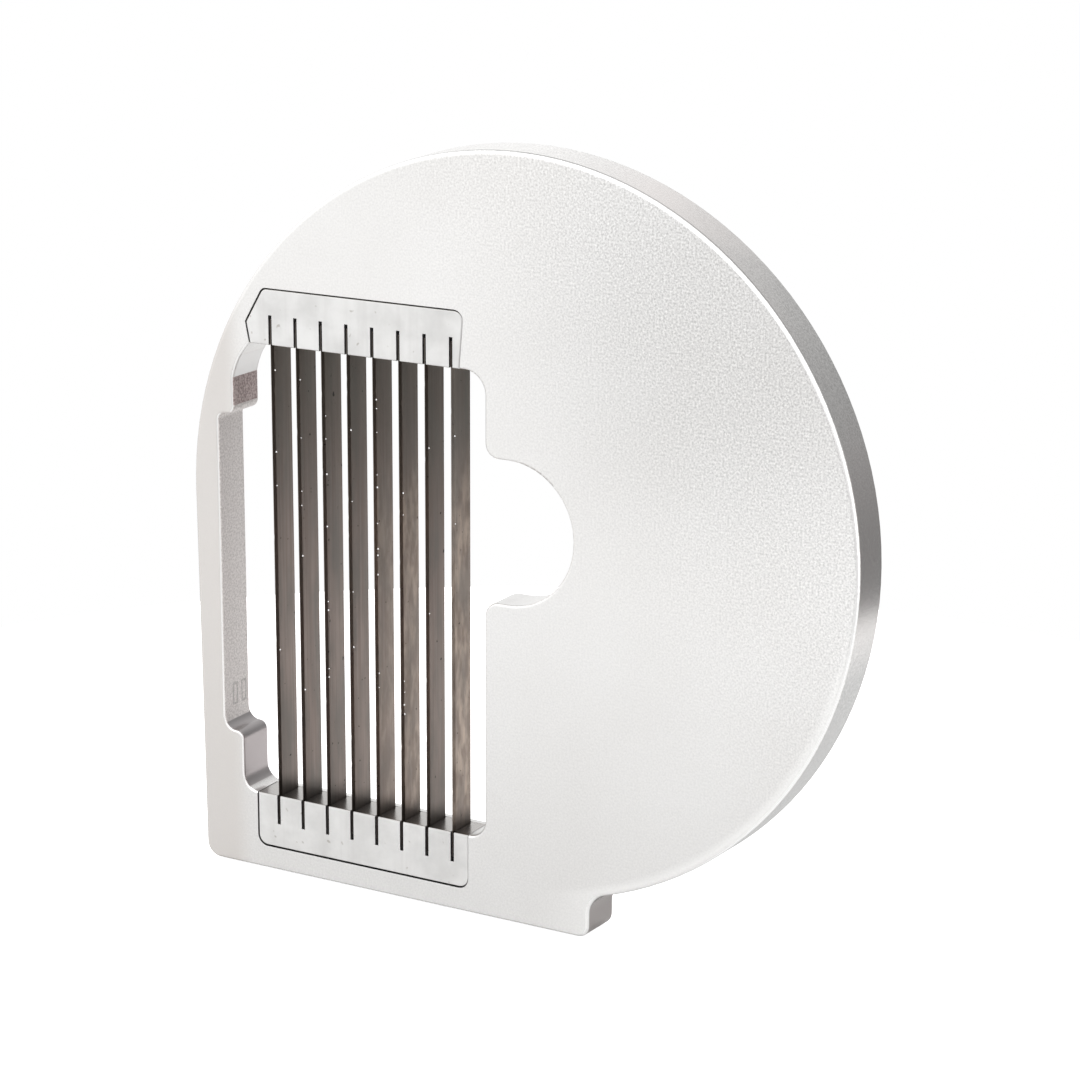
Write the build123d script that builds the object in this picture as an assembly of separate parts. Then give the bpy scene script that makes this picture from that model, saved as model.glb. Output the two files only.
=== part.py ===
from build123d import *
import os
from math import acos, atan2, cos, hypot, pi, radians, sin, sqrt

# Dicing grid plate of a continuous-feed vegetable cutter: a cast aluminium D-shaped plate with a hub notch
# and a food window crossed by eight tensioned blades.
# Frame: origin at the hub axis on the front (cutting) face, +X right and +Z up seen from the front,
# +Y from the front face to the back. Millimetres.

# Plate
DISC_R = 102.5                # outer radius at the front face
THICKNESS = 13.0
DRAFT_DEG = 2.0               # the rim widens towards the back
BOTTOM_Z = -111.3             # flat foot edge, below the disc
FOOT_LEFT_X = -101.4          # lower end of the left side, which leans in slightly
TAB_X = 25.7                  # right-hand side of the foot, the anti-rotation stop
FOOT_LEFT_R = 4.5
FOOT_RIGHT_R = 3.5
TAB_ROOT_R = 6.5
RIM_EDGE_R = 1.3              # rounded front edge of the rim
WINDOW_EDGE_R = 0.8           # rounded front edge of the window and hub notch

# Hub notch and food window
HUB_R = 20.0
NOTCH_CORNER_R = 4.0
WINDOW_RIGHT_X = -7.0
WINDOW_TOP_Z = 43.3
WINDOW_BOTTOM_Z = -88.35
WINDOW_TOP_RIGHT_R = 6.5
WINDOW_BOTTOM_RIGHT_R = 5.2
WINDOW_BOTTOM_LEFT_R = 4.6
WALL_X = -93.8                # long middle stretch of the window's left wall
UPPER_WALL_X = -88.5
LOWER_WALL_X = -87.5
UPPER_STEP_Z = 22.2
UPPER_STEP_R = 2.2
LOWER_STEP_Z = -71.0
LOWER_STEP_OUTER_R = 3.6
LOWER_STEP_INNER_R = 2.6
UPPER_CURVE_Z = 32.8          # where the upper wall starts to curve in to the holder
UPPER_CURVE_LEAN_DEG = 12.0   # kink between the upper wall and the curve
UPPER_CURVE_END_R = 1.0

# Blade holders and their pockets
HOLDER_DEPTH = 9.9
POCKET_DEPTH = 10.0
POCKET_GAP = 0.25
POCKET_SHIFT = (-0.12, 0.08)  # the holders sit against the right and lower sides of their pockets
HOLDER_EDGE_R = 0.4
UPPER_LEFT_X = -82.4          # upper holder, lower left corner
UPPER_KINK = (-83.6, 49.2)    # left shoulder of the dovetail
UPPER_SLOPE_TOP = (-77.9, 58.9)
UPPER_RIGHT_TOP_X = -13.6
UPPER_RIGHT_X = -14.9
UPPER_TOP_Z = 58.9
UPPER_KINK_R = 1.0
UPPER_SLOPE_TOP_R = 2.0
UPPER_RIGHT_TOP_R = 2.7
LOWER_END_Z = -104.0
LOWER_CORNER_R = 3.0
LOWER_BOTTOM_GAP = 0.45

# Blades
BLADE_COUNT = 8
BLADE_PITCH = 8.3             # 0.8 mm steel and a 7.5 mm opening
BLADE_FIRST_X = -75.6
BLADE_T = 0.8
BLADE_WIDTH = 9.2
BLADE_FRONT_Y = 0.2
BEVEL_WIDTH = 1.2
EDGE_LAND = 0.12              # flat left on the ground cutting edge
BLADE_CORNER_R = 0.6
BLADE_TOP_Z = 50.6
BLADE_BOTTOM_Z = -95.7
SLOT_WIDTH = 1.1
SLOT_TOP_Z = 51.7
SLOT_BOTTOM_Z = -97.0

# Blade pins
PIN_R = 1.25
PIN_Y = 5.0
UPPER_PIN_Z = 47.4
LOWER_PIN_Z = -92.5
PIN_CLEARANCE = 0.05
PIN_END_SETBACK = 0.4
PIN_END_CHAMFER = 0.2

# Tensioning: two M4 screws pull the lower holder down
SCREW_R = 2.0
THREAD_PITCH = 0.7
TENSION_TURNS = 1.5
SLACK_TRAVEL = THREAD_PITCH * TENSION_TURNS
THREAD_CLEARANCE = 0.05
SCREW_HOLE_R = 2.2
TENSION_SCREW_Y = 5.0
TENSION_HEAD_R = 3.5
TENSION_HEAD_H = 2.8
TENSION_HEAD_EDGE_R = 0.3
HEX_KEY = 2.5
HEX_DEPTH = 1.6
WASHER_R = 3.45
WASHER_HOLE_R = 2.1
WASHER_T = 1.2
WASHER_SPLIT = 0.8
COUNTERBORE_R = 4.0
HEAD_RECESS = 0.4             # screw head below the foot edge
TENSION_TIP_Z = -97.6
TAPPED_HOLE_TOP_Z = -97.2
SCREW_TIP_CHAMFER = 0.5

# Countersunk M4 screws that hold the upper holder from the back
HOLDER_SCREW_Z = 55.4
HOLDER_SCREW_TIP_Y = 3.0
HOLDER_HOLE_END_Y = 2.4
CSK_HEAD_R = 3.9
CSK_RECESS = 0.1
CSK_RIM = 0.25                # short cylinder at the wide end of the head
CSK_CLEARANCE = 0.15
CSK_OVERRUN = 0.5             # the countersink's cone runs this far past the back

OVERRUN = 1.0                 # how far other cutting shapes run past a face

# Cored-out back
SKIN = 4.0                    # plate left at the front of the cored cells
RIM_WALL = 5.5
HUB_WALL = 6.5
WINDOW_WALL = 6.5
RIB_T = 3.5
RIB_RING_R = 61.0
RIB_ANGLES = (-60, -30, 0, 30, 60, 90, 120)
CELL_CORNER_R = 2.5
CELL_FLOOR_R = 1.2
BACK_EDGE_R = 1.5             # rounded back edge of the window and hub notch

blade_xs = [BLADE_FIRST_X + BLADE_PITCH * i for i in range(BLADE_COUNT)]
screw_xs = {
    "left": (blade_xs[0] + blade_xs[1]) / 2,
    "right": (blade_xs[-2] + blade_xs[-1]) / 2,
}
lower_left_x = LOWER_WALL_X + WINDOW_BOTTOM_LEFT_R + POCKET_GAP
lower_right_x = WINDOW_RIGHT_X - WINDOW_BOTTOM_RIGHT_R - POCKET_GAP
counterbore_top_z = BOTTOM_Z + HEAD_RECESS + TENSION_HEAD_H + WASHER_T
pin_hole_r = PIN_R + PIN_CLEARANCE


def prism(sketch, front_y, back_y):
    """Extrudes a front-view sketch (x, z) from front_y to back_y."""
    return extrude(Plane.XZ.offset(-front_y) * sketch, -(back_y - front_y))


def rounded(sketch, corners):
    """Rounds the sketch corners nearest to each (x, z) by its radius."""
    for x, z, radius in corners:
        sketch = fillet(sketch.vertices().sort_by_distance((x, z, 0))[0], radius)
    return sketch


def rod_z(x, y, z_low, z_high, radius):
    """A round rod along Z."""
    height = z_high - z_low
    return Pos(x, y, (z_low + z_high) / 2) * Cylinder(radius, height)


def rod_x(x_low, x_high, y, z, radius):
    """A round rod along X."""
    rod = Rot(0, 90, 0) * Cylinder(radius, x_high - x_low)
    return Pos((x_low + x_high) / 2, y, z) * rod


def rod_y(x, z, y_low, y_high, radius):
    """A round rod along Y."""
    return prism(Pos(x, z) * Circle(radius), y_low, y_high)


def on_disc(angle):
    """Point of the disc's edge at an angle from +X."""
    return (DISC_R * cos(angle), DISC_R * sin(angle))


def plate_outline():
    """Disc with a square foot on the left and the stop tab at the bottom right."""
    tab_top = (TAB_X, -sqrt(DISC_R**2 - TAB_X**2))
    corner_angle = atan2(BOTTOM_Z, FOOT_LEFT_X)
    tangent_angle = corner_angle - acos(DISC_R / hypot(FOOT_LEFT_X, BOTTOM_Z))
    left_top = on_disc(tangent_angle)
    foot = Polyline(left_top, (FOOT_LEFT_X, BOTTOM_Z), (TAB_X, BOTTOM_Z), tab_top)
    rim = ThreePointArc(tab_top, on_disc(pi / 4), left_top)
    return rounded(
        make_face(foot + rim),
        [
            (FOOT_LEFT_X, BOTTOM_Z, FOOT_LEFT_R),
            (TAB_X, BOTTOM_Z, FOOT_RIGHT_R),
            (*tab_top, TAB_ROOT_R),
        ],
    )


def window_outline():
    """Food window and the hub notch that opens into it."""
    top_left = (UPPER_LEFT_X - POCKET_GAP, WINDOW_TOP_Z)
    curve_start = (UPPER_WALL_X, UPPER_CURVE_Z)
    upper = Polyline(top_left, (WINDOW_RIGHT_X, WINDOW_TOP_Z), (WINDOW_RIGHT_X, HUB_R), (0, HUB_R))
    notch = ThreePointArc((0, HUB_R), (HUB_R, 0), (0, -HUB_R))
    lower = Polyline(
        (0, -HUB_R),
        (WINDOW_RIGHT_X, -HUB_R),
        (WINDOW_RIGHT_X, WINDOW_BOTTOM_Z),
        (LOWER_WALL_X, WINDOW_BOTTOM_Z),
        (LOWER_WALL_X, LOWER_STEP_Z),
        (WALL_X, LOWER_STEP_Z),
        (WALL_X, UPPER_STEP_Z),
        (UPPER_WALL_X, UPPER_STEP_Z),
        curve_start,
    )
    lean = radians(UPPER_CURVE_LEAN_DEG)
    shoulder = TangentArc(curve_start, top_left, tangent=(sin(lean), cos(lean)))
    return rounded(
        make_face(upper + notch + lower + shoulder),
        [
            (*top_left, UPPER_CURVE_END_R),
            (WINDOW_RIGHT_X, WINDOW_TOP_Z, WINDOW_TOP_RIGHT_R),
            (WINDOW_RIGHT_X, HUB_R, NOTCH_CORNER_R),
            (WINDOW_RIGHT_X, -HUB_R, NOTCH_CORNER_R),
            (WINDOW_RIGHT_X, WINDOW_BOTTOM_Z, WINDOW_BOTTOM_RIGHT_R),
            (LOWER_WALL_X, WINDOW_BOTTOM_Z, WINDOW_BOTTOM_LEFT_R),
            (LOWER_WALL_X, LOWER_STEP_Z, LOWER_STEP_INNER_R),
            (WALL_X, LOWER_STEP_Z, LOWER_STEP_OUTER_R),
            (WALL_X, UPPER_STEP_Z, UPPER_STEP_R),
            (UPPER_WALL_X, UPPER_STEP_Z, UPPER_STEP_R),
        ],
    )


def upper_holder_outline():
    """Dovetailed holder, wider at the top so that blade tension seats it."""
    points = [
        (UPPER_LEFT_X, WINDOW_TOP_Z),
        UPPER_KINK,
        UPPER_SLOPE_TOP,
        (UPPER_RIGHT_TOP_X, UPPER_TOP_Z),
        (UPPER_RIGHT_X, WINDOW_TOP_Z),
    ]
    return rounded(
        make_face(Polyline(*points, close=True)),
        [
            (*UPPER_KINK, UPPER_KINK_R),
            (*UPPER_SLOPE_TOP, UPPER_SLOPE_TOP_R),
            (UPPER_RIGHT_TOP_X, UPPER_TOP_Z, UPPER_RIGHT_TOP_R),
        ],
    )


def lower_holder_outline(margin=0.0, bottom_margin=0.0):
    """Rectangular holder with rounded lower corners, or its pocket when margins are given."""
    left, right = lower_left_x - margin, lower_right_x + margin
    end_z = LOWER_END_Z - bottom_margin
    corners = [(left, WINDOW_BOTTOM_Z), (left, end_z), (right, end_z), (right, WINDOW_BOTTOM_Z)]
    block = make_face(Polyline(*corners, close=True))
    radius = LOWER_CORNER_R + margin
    return rounded(block, [(left, end_z, radius), (right, end_z, radius)])


def core_cells():
    """Front view of the cells between the ribs of the back."""
    field = Circle(DISC_R - RIM_WALL) - Circle(HUB_R + HUB_WALL)
    block_right = WINDOW_RIGHT_X + WINDOW_WALL
    block_top = UPPER_TOP_Z + RIM_WALL
    block_width = block_right + 2 * DISC_R
    block_height = block_top + 2 * DISC_R
    block = Rectangle(block_width, block_height)
    field -= Pos(block_right - block_width / 2, block_top - block_height / 2) * block
    field -= Circle(RIB_RING_R + RIB_T / 2) - Circle(RIB_RING_R - RIB_T / 2)
    for angle in RIB_ANGLES:
        field -= Rot(0, 0, angle) * Pos(DISC_R / 2, 0) * Rectangle(DISC_R, RIB_T)
    return fillet(field.vertices(), CELL_CORNER_R)


def plate_body():
    """Cast plate: rim, window, hub notch, holder pockets, screw holes and cored back."""
    blank = prism(plate_outline(), 0, THICKNESS)
    sides = blank.faces().sort_by(Axis.Y)[1:-1]
    body = draft(sides, Plane.XZ, DRAFT_DEG)
    body = fillet(body.faces().sort_by(Axis.Y)[0].edges(), RIM_EDGE_R)
    body -= prism(window_outline(), -OVERRUN, THICKNESS + OVERRUN)
    front = body.faces().sort_by(Axis.Y)[0]
    body = fillet(front.inner_wires()[0].edges(), WINDOW_EDGE_R)
    back = body.faces().sort_by(Axis.Y)[-1]
    body = fillet(back.inner_wires()[0].edges(), BACK_EDGE_R)

    upper_pocket = Pos(*POCKET_SHIFT) * offset(upper_holder_outline(), POCKET_GAP)
    lower_pocket = Pos(POCKET_SHIFT[0], 0) * lower_holder_outline(POCKET_GAP, LOWER_BOTTOM_GAP)
    body -= prism(upper_pocket, -OVERRUN, POCKET_DEPTH)
    body -= prism(lower_pocket, -OVERRUN, POCKET_DEPTH)
    for x in screw_xs.values():
        body -= rod_z(x, TENSION_SCREW_Y, BOTTOM_Z - OVERRUN, LOWER_END_Z, SCREW_HOLE_R)
        body -= rod_z(x, TENSION_SCREW_Y, BOTTOM_Z - OVERRUN, counterbore_top_z, COUNTERBORE_R)
        body -= rod_y(x, HOLDER_SCREW_Z, POCKET_DEPTH - OVERRUN, THICKNESS + OVERRUN, SCREW_HOLE_R)
        body -= countersink(x)

    for cavity in prism(core_cells(), SKIN, THICKNESS + OVERRUN).solids():
        floor = cavity.faces().sort_by(Axis.Y)[0]
        body -= cavity.fillet(CELL_FLOOR_R, floor.edges())
    return body


def countersink(x):
    """90 degree cone that opens to the back."""
    mouth_y = THICKNESS + CSK_OVERRUN
    mouth_r = CSK_HEAD_R + CSK_CLEARANCE + CSK_RECESS + CSK_RIM + CSK_OVERRUN
    profile = make_face(Polyline((0, mouth_y - mouth_r), (mouth_r, mouth_y), (0, mouth_y), close=True))
    return Pos(x, 0, HOLDER_SCREW_Z) * revolve(profile, Axis.Y)


def slotted(block, slot_low_z, slot_high_z):
    """Saws the blade slots through a holder from front to back."""
    for x in blade_xs:
        height = slot_high_z - slot_low_z
        slot = Box(SLOT_WIDTH, HOLDER_DEPTH + 2 * OVERRUN, height)
        block -= Pos(x, HOLDER_DEPTH / 2, (slot_low_z + slot_high_z) / 2) * slot
    return block


def softened(block):
    """Breaks the front edges of a holder."""
    return fillet(block.faces().sort_by(Axis.Y)[0].edges(), HOLDER_EDGE_R)


def upper_blade_holder():
    holder = softened(prism(upper_holder_outline(), 0, HOLDER_DEPTH))
    holder = slotted(holder, WINDOW_TOP_Z - OVERRUN, SLOT_TOP_Z)
    holder -= rod_x(UPPER_KINK[0] - OVERRUN, UPPER_RIGHT_TOP_X + OVERRUN, PIN_Y, UPPER_PIN_Z, pin_hole_r)
    thread_hole_r = SCREW_R + THREAD_CLEARANCE
    for x in screw_xs.values():
        holder -= rod_y(x, HOLDER_SCREW_Z, HOLDER_HOLE_END_Y, HOLDER_DEPTH + OVERRUN, thread_hole_r)
    return holder


def lower_blade_holder():
    holder = softened(prism(lower_holder_outline(), 0, HOLDER_DEPTH))
    holder = slotted(holder, SLOT_BOTTOM_Z, WINDOW_BOTTOM_Z + OVERRUN)
    holder -= rod_x(lower_left_x - OVERRUN, lower_right_x + OVERRUN, PIN_Y, LOWER_PIN_Z, pin_hole_r)
    thread_hole_r = SCREW_R + THREAD_CLEARANCE
    for x in screw_xs.values():
        holder -= rod_z(x, TENSION_SCREW_Y, LOWER_END_Z - OVERRUN, TAPPED_HOLE_TOP_Z, thread_hole_r)
    return holder


def blade(x):
    """Steel strip on edge, ground on both sides of its front edge and pierced for the two pins."""
    length = BLADE_TOP_Z - BLADE_BOTTOM_Z
    middle = Pos(BLADE_FRONT_Y + BLADE_WIDTH / 2, (BLADE_TOP_Z + BLADE_BOTTOM_Z) / 2)
    side = middle * RectangleRounded(BLADE_WIDTH, length, BLADE_CORNER_R)
    side -= Pos(PIN_Y, UPPER_PIN_Z) * Circle(pin_hole_r)
    slack = SLACK_TRAVEL + PIN_CLEARANCE
    side -= Pos(PIN_Y, LOWER_PIN_Z + slack / 2) * Rot(0, 0, 90) * SlotCenterToCenter(slack, 2 * pin_hole_r)
    strip = extrude(Plane.YZ.offset(x - BLADE_T / 2) * side, BLADE_T)
    for sign in (-1, 1):
        wedge = make_face(Polyline(
            (x + sign * EDGE_LAND / 2, BLADE_FRONT_Y),
            (x + sign * BLADE_T / 2, BLADE_FRONT_Y + BEVEL_WIDTH),
            (x + sign * BLADE_T, BLADE_FRONT_Y - OVERRUN),
            (x + sign * EDGE_LAND / 2, BLADE_FRONT_Y - OVERRUN),
            close=True,
        ))
        strip -= Pos(0, 0, BLADE_BOTTOM_Z - OVERRUN) * extrude(wedge, length + 2 * OVERRUN)
    return strip


def blade_pin(left_x, right_x, z):
    """Hardened pin through one holder and all the blades."""
    pin = rod_x(left_x + PIN_END_SETBACK, right_x - PIN_END_SETBACK, PIN_Y, z, PIN_R)
    return chamfer(pin.edges(), PIN_END_CHAMFER)


def tension_screw(x):
    """Low-head M4 cap screw with a hex socket, head down."""
    head_low_z = BOTTOM_Z + HEAD_RECESS
    head_high_z = head_low_z + TENSION_HEAD_H
    head = rod_z(x, TENSION_SCREW_Y, head_low_z, head_high_z, TENSION_HEAD_R)
    head = fillet(head.edges().sort_by(Axis.Z)[0], TENSION_HEAD_EDGE_R)
    shank = rod_z(x, TENSION_SCREW_Y, head_high_z, TENSION_TIP_Z, SCREW_R)
    shank = chamfer(shank.edges().sort_by(Axis.Z)[-1], SCREW_TIP_CHAMFER)
    socket = extrude(RegularPolygon(HEX_KEY / 2, 6, major_radius=False), HEX_DEPTH)
    return head + shank - Pos(x, TENSION_SCREW_Y, head_low_z) * socket


def tension_washer(x):
    """Split spring washer, flat when the blades are tight."""
    low_z = counterbore_top_z - WASHER_T
    ring = Cylinder(WASHER_R, WASHER_T) - Cylinder(WASHER_HOLE_R, WASHER_T)
    ring -= Rot(0, 0, 90) * Pos(WASHER_R, 0, 0) * Box(2 * WASHER_R, WASHER_SPLIT, WASHER_T)
    return Pos(x, TENSION_SCREW_Y, low_z + WASHER_T / 2) * ring


def upper_holder_screw(x):
    """Countersunk M4 screw with a hex socket, flush with the back."""
    head_y = THICKNESS - CSK_RECESS
    cone_h = CSK_HEAD_R - SCREW_R
    profile = make_face(
        Polyline(
            (0, head_y),
            (CSK_HEAD_R, head_y),
            (CSK_HEAD_R, head_y - CSK_RIM),
            (SCREW_R, head_y - CSK_RIM - cone_h),
            (SCREW_R, HOLDER_SCREW_TIP_Y + SCREW_TIP_CHAMFER),
            (SCREW_R - SCREW_TIP_CHAMFER, HOLDER_SCREW_TIP_Y),
            (0, HOLDER_SCREW_TIP_Y),
            close=True,
        )
    )
    screw = revolve(profile, Axis.Y)
    socket = prism(RegularPolygon(HEX_KEY / 2, 6, major_radius=False), head_y - HEX_DEPTH, head_y)
    return Pos(x, 0, HOLDER_SCREW_Z) * (screw - socket)


parts = {
    "plate_body": plate_body(),
    "upper_blade_holder": upper_blade_holder(),
    "lower_blade_holder": lower_blade_holder(),
    "upper_blade_pin": blade_pin(UPPER_LEFT_X, UPPER_RIGHT_X, UPPER_PIN_Z),
    "lower_blade_pin": blade_pin(lower_left_x, lower_right_x, LOWER_PIN_Z),
}
for number, x in enumerate(blade_xs, start=1):
    parts[f"blade_{number}"] = blade(x)
for side, x in screw_xs.items():
    parts[f"tension_screw_{side}"] = tension_screw(x)
    parts[f"tension_washer_{side}"] = tension_washer(x)
    parts[f"upper_holder_screw_{side}"] = upper_holder_screw(x)

os.makedirs("parts", exist_ok=True)
for name, shape in parts.items():
    export_step(shape, f"parts/{name}.step")
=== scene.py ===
import math
import random

import bmesh
import bpy
from mathutils import Matrix, Vector


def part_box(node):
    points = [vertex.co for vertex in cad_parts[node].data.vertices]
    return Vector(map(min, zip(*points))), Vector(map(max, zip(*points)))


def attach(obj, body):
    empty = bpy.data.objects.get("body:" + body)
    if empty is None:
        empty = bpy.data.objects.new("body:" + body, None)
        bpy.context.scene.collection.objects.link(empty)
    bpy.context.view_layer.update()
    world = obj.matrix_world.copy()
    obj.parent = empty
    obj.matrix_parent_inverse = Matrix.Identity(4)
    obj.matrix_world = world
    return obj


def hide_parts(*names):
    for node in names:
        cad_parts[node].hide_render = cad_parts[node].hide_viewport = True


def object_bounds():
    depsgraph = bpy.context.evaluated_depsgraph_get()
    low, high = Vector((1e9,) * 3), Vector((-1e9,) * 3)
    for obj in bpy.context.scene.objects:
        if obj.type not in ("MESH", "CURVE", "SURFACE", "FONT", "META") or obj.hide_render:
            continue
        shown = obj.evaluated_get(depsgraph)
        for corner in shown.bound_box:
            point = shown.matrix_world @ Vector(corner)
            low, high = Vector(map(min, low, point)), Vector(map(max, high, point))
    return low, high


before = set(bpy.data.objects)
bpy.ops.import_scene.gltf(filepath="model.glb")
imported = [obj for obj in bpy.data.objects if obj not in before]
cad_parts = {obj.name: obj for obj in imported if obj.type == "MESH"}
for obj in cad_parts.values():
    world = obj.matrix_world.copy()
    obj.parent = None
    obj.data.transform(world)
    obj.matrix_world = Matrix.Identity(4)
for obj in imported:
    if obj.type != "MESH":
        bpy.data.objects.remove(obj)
cad_low, cad_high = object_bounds()

MM = 0.001

# Camera
VIEW_AZIMUTH_DEG = 29.56
VIEW_ELEVATION_DEG = 15.29
VIEW_ROLL_DEG = 0.27
HUB_RIGHT = -8.8 * MM       # where the hub axis sits in the view, from its middle
HUB_UP = 1.7 * MM
HUB_DISTANCE = 825 * MM
LENS_MM = 102.8

# Floor
FLOOR_RADIUS = 0.335
FLOOR_SIDES = 128
FLOOR_GLOW_IN_VIEW = 0.9    # so that the floor blends into the white backdrop

# Soft lobes of light round the object: azimuth from the back towards +X, elevation, strength, tightness.
LIGHT_LOBES = [
    (-62, 22, 0.98, 1.45),
    (-142, -8, 0.71, 4.0),
    (-135, 50, 0.75, 5.0),
    (150, 42, 1.05, 5.0),
    (97, -2, 1.5, 8.0),
    (95, 44, 1.0, 8.0),
    (0, 88, 0.42, 4.0),
    (-42, 47, -0.8, 30.0),
    (-27, 17, 0.16, 10.0),
    (34, -12, -0.17, 14.0),
]
LIGHT_BASE = 0.14

# Regions of the plate, in the shared frame
INNER_WALL_X = -85.5 * MM      # the window's left walls lie left of this
UPPER_WALL_LOW_Z = 24.8 * MM   # the coarse short wall is between these two
UPPER_WALL_HIGH_Z = 32.8 * MM
LOWER_WALL_Z = -69.0 * MM      # the milled lower corner is below this
BELOW_WINDOW_Z = -94.0 * MM
RIM_SIDE_R = 101.6 * MM        # the rim's side and rounding are outside this radius
DISC_BACK_R = 102.95 * MM
CREASE_Y = 1.45 * MM           # back end of the rounded front edge
NOTCH_EDGE_R = 50.0 * MM       # the edges of the hub notch lie within this radius
SHADE_X = 60.0 * MM            # middle of the painted shade on the front face
SHADE_Z = 60.0 * MM
SHADE_R = 80.0 * MM
TAB_X = 24.5 * MM              # the stop tab is right of and below these two
TAB_Z = -100.0 * MM
# left of this the front face is painted darker as shade
LEFT_STRIP_X = -84.0 * MM

# Two small moulded marks on the long wall
MARK_LOW_Z = -65.0 * MM
MARK_HIGH_Z = -58.8 * MM
MARK_YS = (5.4 * MM, 9.6 * MM)
MARK_WIDTH = 2.2 * MM
MARK_LINE = 0.3 * MM

# Blades
BLADE_COUNT = 8
BEVEL_WIDTH = 1.2 * MM
BLADE_T = 0.8 * MM
EXPOSED_LOW_Z = -88.4 * MM
EXPOSED_HIGH_Z = 43.3 * MM
BLADE_SLICE = 1.3 * MM
TARNISH = {5: 0.4, 6: 0.8, 8: 1.0}      # how far each tarnished blade has browned
BURRS = (4, 6, 9, 4, 11, 6, 2, 2)       # small bright burrs on each blade's grinding line
BURR_RADII = (0.17 * MM, 0.34 * MM)
NICK_DEPTH = 0.10 * MM
NICK_SHARE = 0.04
SAME_PLACE = 0.01 * MM

# Screws
SCREW_SIDES = 72
THREAD_R = 2.0 * MM
THREAD_HEIGHT = 0.42 * MM
THREAD_PITCH = 0.7 * MM
STEPS_PER_TURN = 8
HEX_KEY = 2.5 * MM
HEX_DEPTH = 1.6 * MM
CAP_HEAD_R = 3.5 * MM
CAP_HEAD_H = 2.8 * MM
CAP_EDGE_R = 0.3 * MM
CSK_HEAD_R = 3.9 * MM
CSK_RIM = 0.25 * MM
SHARP_ANGLE_DEG = 32

# Colours of the plate by region
CAST = {
    "dull_and_shaded": (0.845, 0.835, 0.822, 1),
    "clean": (0.875, 0.868, 0.858, 1),
    "blotch": (0.79, 0.775, 0.76, 1),
    # painted shade for the face's strip left of the window
    "left": (0.66, 0.63, 0.605, 1),
    # painted highlight on rounded edges that face the light
    "painted_edge_highlight": (0.98, 0.975, 0.965, 1),
    "side": (0.88, 0.83, 0.81, 1),
    # painted dark reflection along the back of the rounded rim edge
    "painted_dark_reflection": (0.30, 0.30, 0.30, 1),
    # painted shade on the stop tab's sides
    "tab": (0.45, 0.42, 0.41, 1),
    "sand_dark": (0.65, 0.615, 0.60, 1),
    "sand_light": (0.86, 0.825, 0.81, 1),
    "coarse_dark": (0.38, 0.305, 0.295, 1),
    "coarse_light": (0.69, 0.60, 0.59, 1),
    "milled_top": (0.76, 0.75, 0.74, 1),
    "milled_wall": (0.57, 0.525, 0.525, 1),
    # painted shade on the upward faces of the lower milled corner
    "milled_step_shaded": (0.38, 0.36, 0.36, 1),
}

# Colours of the blade holders
HOLDER = {
    "clean": (0.79, 0.785, 0.775, 1),
    "dull_and_shaded": (0.67, 0.665, 0.655, 1),
    "streak": (0.64, 0.63, 0.62, 1),
    "stain": (0.36, 0.33, 0.29, 1),
    # painted shade on the holders' level faces
    "level": (0.44, 0.425, 0.41, 1),
    # painted shade on the holders' upper front edges
    "edge": (0.50, 0.49, 0.475, 1),
}

# Colours of the blades
BLADE = {
    "dark": (0.29, 0.235, 0.21, 1),
    "light": (0.36, 0.30, 0.27, 1),
    "cool": (0.275, 0.255, 0.235, 1),
    # painted shade towards the blades' tops
    "top": (0.19, 0.18, 0.155, 1),
    "tan_dark": (0.36, 0.29, 0.245, 1),
    "tan_light": (0.60, 0.50, 0.425, 1),
    "pit": (0.05, 0.045, 0.04, 1),
    # painted shade on the ground edge
    "ground": (0.07, 0.06, 0.055, 1),
}


# ---------------------------------------------------------------- node helpers


def set_input(tree, socket, value):
    """Gives a node's input a value, or a link when the value is a socket."""
    if isinstance(value, bpy.types.NodeSocket):
        tree.links.new(value, socket)
    else:
        socket.default_value = value


def set_inputs(tree, node, inputs):
    """Sets several inputs of a node, by name or by number."""
    for key, value in inputs.items():
        set_input(tree, node.inputs[key], value)


def add_node(tree, kind, inputs=None, **settings):
    """Adds a shader node. Inputs are values or sockets, by name or by number."""
    made = tree.nodes.new(kind)
    for name, value in settings.items():
        setattr(made, name, value)
    set_inputs(tree, made, inputs or {})
    return made


def maths(tree, operation, first, second=0.0):
    """The result of one maths node."""
    return add_node(tree, "ShaderNodeMath", {0: first, 1: second}, operation=operation).outputs[0]


def times(tree, *factors):
    """The product of all factors."""
    product = factors[0]
    for factor in factors[1:]:
        product = maths(tree, "MULTIPLY", product, factor)
    return product


def invert(tree, value):
    """1 minus the value."""
    return maths(tree, "SUBTRACT", 1.0, value)


def ramp(tree, value, low, high, low_to=0.0, high_to=1.0, smooth=True):
    """Maps a value from low..high to low_to..high_to, clamped at both ends."""
    made = add_node(
        tree,
        "ShaderNodeMapRange",
        {"Value": value, "From Min": low, "From Max": high, "To Min": low_to, "To Max": high_to},
        interpolation_type="SMOOTHSTEP" if smooth else "LINEAR",
    )
    return made.outputs["Result"]


def band(tree, value, low, high, soft):
    """1 between low and high, falling to 0 over the soft distance outside."""
    rise = ramp(tree, value, low - soft, low)
    fall = ramp(tree, value, high, high + soft, 1.0, 0.0)
    return times(tree, rise, fall)


def mix_colour(tree, factor, first, second):
    """The first colour at factor 0, the second at 1."""
    made = add_node(tree, "ShaderNodeMix", data_type="RGBA")
    set_input(tree, made.inputs[0], factor)
    set_input(tree, made.inputs[6], first)
    set_input(tree, made.inputs[7], second)
    return made.outputs[2]


def brightened(tree, colour, factor):
    """The colour times a factor."""
    return add_node(tree, "ShaderNodeVectorMath", {0: colour, "Scale": factor}, operation="SCALE").outputs[0]


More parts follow.
